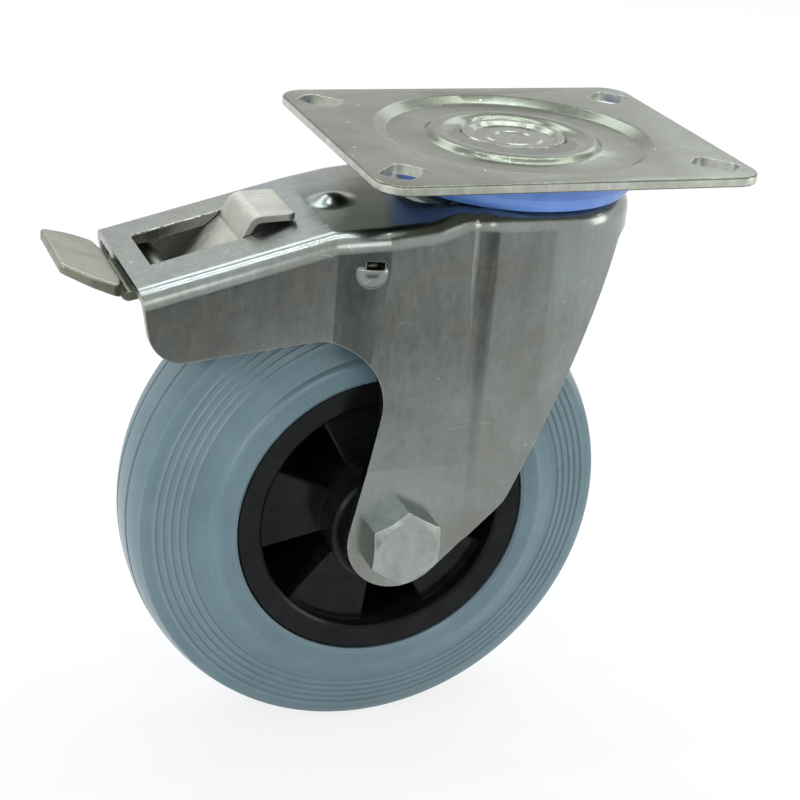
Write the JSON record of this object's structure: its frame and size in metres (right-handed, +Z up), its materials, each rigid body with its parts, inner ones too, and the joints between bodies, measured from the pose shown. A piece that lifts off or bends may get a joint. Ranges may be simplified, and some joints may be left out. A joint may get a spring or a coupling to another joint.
{
  "type": "swivel castor",
  "caption": "Swivel castor with a rectangular top plate, a pressed steel fork, a rubber-tyred wheel and a foot brake.",
  "frame": {"origin": "middle of the top plate's upper face, on the swivel axis", "axes": "+Z up out of the plate, +X along the plate's long side, away from the brake pedal"},
  "size_m": [0.1618, 0.0851, 0.1565],
  "materials": {
    "zinc": "zinc plated, satin",
    "bright": "polished plated steel",
    "ball_steel": "hardened steel",
    "seal": "violet-blue soft plastic",
    "wheel_plastic": "black moulded plastic, glossy",
    "cage_plastic": "black plastic",
    "tyre": "blue-grey solid rubber"
  },
  "bodies": {
    "plate": {"top_plate": "zinc", "king_pin": "zinc", "lower_cup": "zinc", "upper_balls": "ball_steel", "lower_balls": "ball_steel"},
    "swivel": {"fork": "bright", "seal_ring": "seal", "axle_bolt": "zinc", "axle_nut": "zinc", "nut_washer": "zinc", "axle_sleeve": "zinc", "thrust_washers": "zinc", "brake_pivot": "zinc"},
    "wheel": {"tyre": "tyre", "wheel_centre": "wheel_plastic", "roller_cage": "cage_plastic", "bearing_rollers": "ball_steel", "hub_caps": "cage_plastic"},
    "pedal": {"brake_lever": "zinc", "brake_cross_pin": "zinc"},
    "leaf": {"brake_leaf": "zinc"}
  },
  "joints": [
    {"name": "swivel_turn", "type": "hinge", "parent": "plate", "child": "swivel", "pos_m": [0, 0, -0.01], "axis": [0, 0, 1], "continuous": true},
    {"name": "wheel_spin", "type": "hinge", "parent": "swivel", "child": "wheel", "pos_m": [-0.033, 0, -0.094], "axis": [0, 1, 0], "continuous": true},
    {"name": "pedal_press", "type": "hinge", "parent": "swivel", "child": "pedal", "pos_m": [-0.0434, 0, -0.0256], "axis": [0, -1, 0], "range_deg": [0, 4], "stiffness_Nm_per_rad": 4, "springref_deg": -1.15},
    {"name": "leaf_press", "type": "hinge", "parent": "swivel", "child": "leaf", "pos_m": [-0.067, 0.0011, -0.0215], "axis": [0, -1, 0], "range_deg": [0, 7], "stiffness_Nm_per_rad": 1, "springref_deg": -1.15}
  ],
  "couplings": [
    {"joint": "leaf_press", "follows": "pedal_press", "ratio": 1.75}
  ]
}
